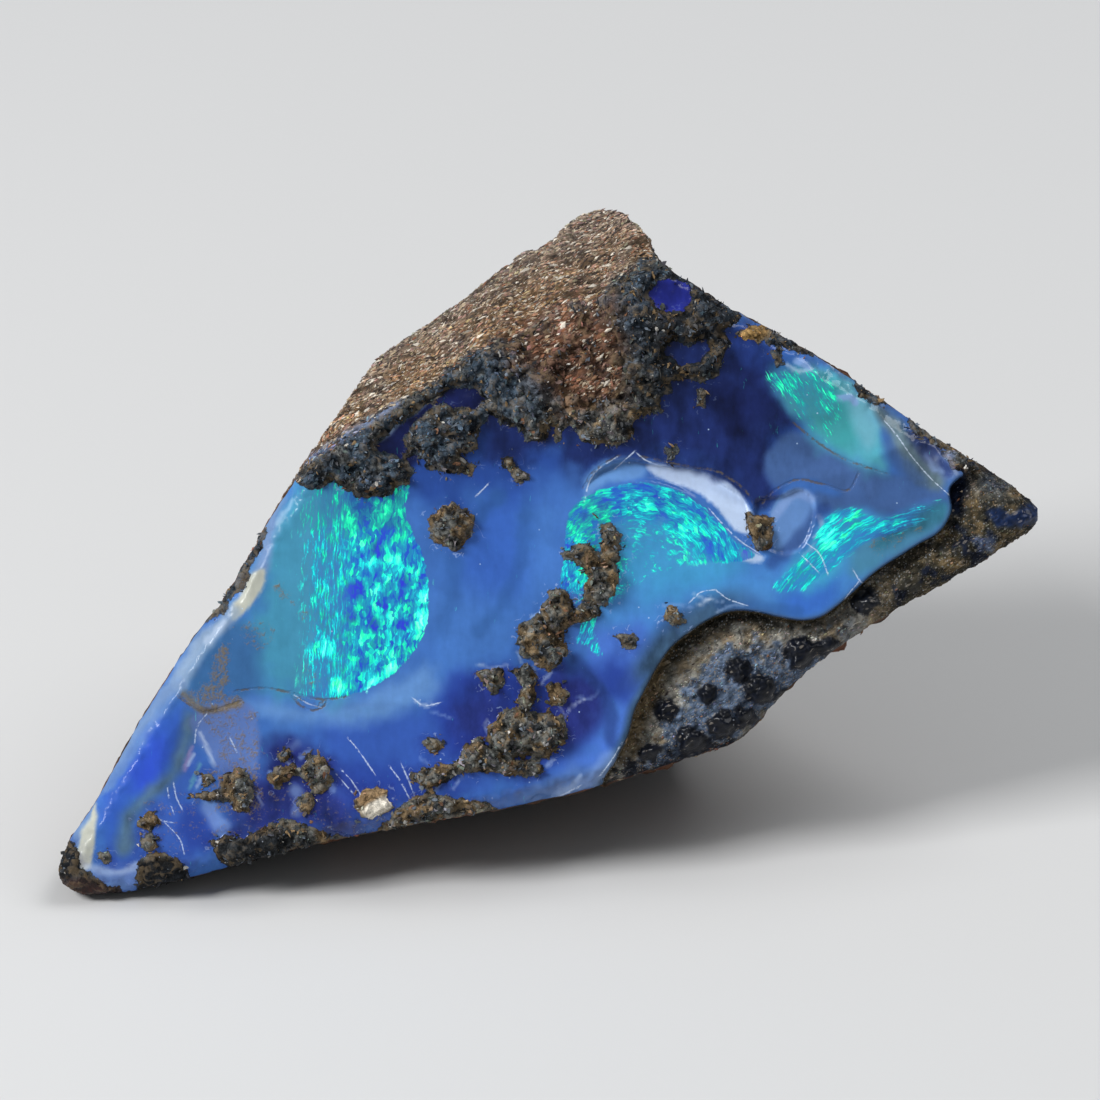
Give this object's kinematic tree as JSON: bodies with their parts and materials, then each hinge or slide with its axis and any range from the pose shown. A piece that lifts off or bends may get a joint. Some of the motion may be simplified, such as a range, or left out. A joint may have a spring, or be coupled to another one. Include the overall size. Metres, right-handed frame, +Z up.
{
  "type": "rough boulder opal",
  "caption": "Rough boulder opal: a leaning blue opal face with green fire, a dark crust, a sandy brown side and a broken ironstone back that rests on a flat facet.",
  "frame": {"origin": "under the middle of the stone's box, on the ground it rests on", "axes": "+Z up; +X along the longest extent, from the low left tip to the raised right tip; the opal face looks along -Y and leans back"},
  "size_m": [0.0614, 0.0352, 0.0356],
  "materials": {
    "boulder_opal": "glassy blue opal with cyan-green play of colour, dull dark crust and sandy brown ironstone"
  },
  "bodies": {
    "root": {"boulder_opal": "boulder_opal"}
  },
  "joints": []
}
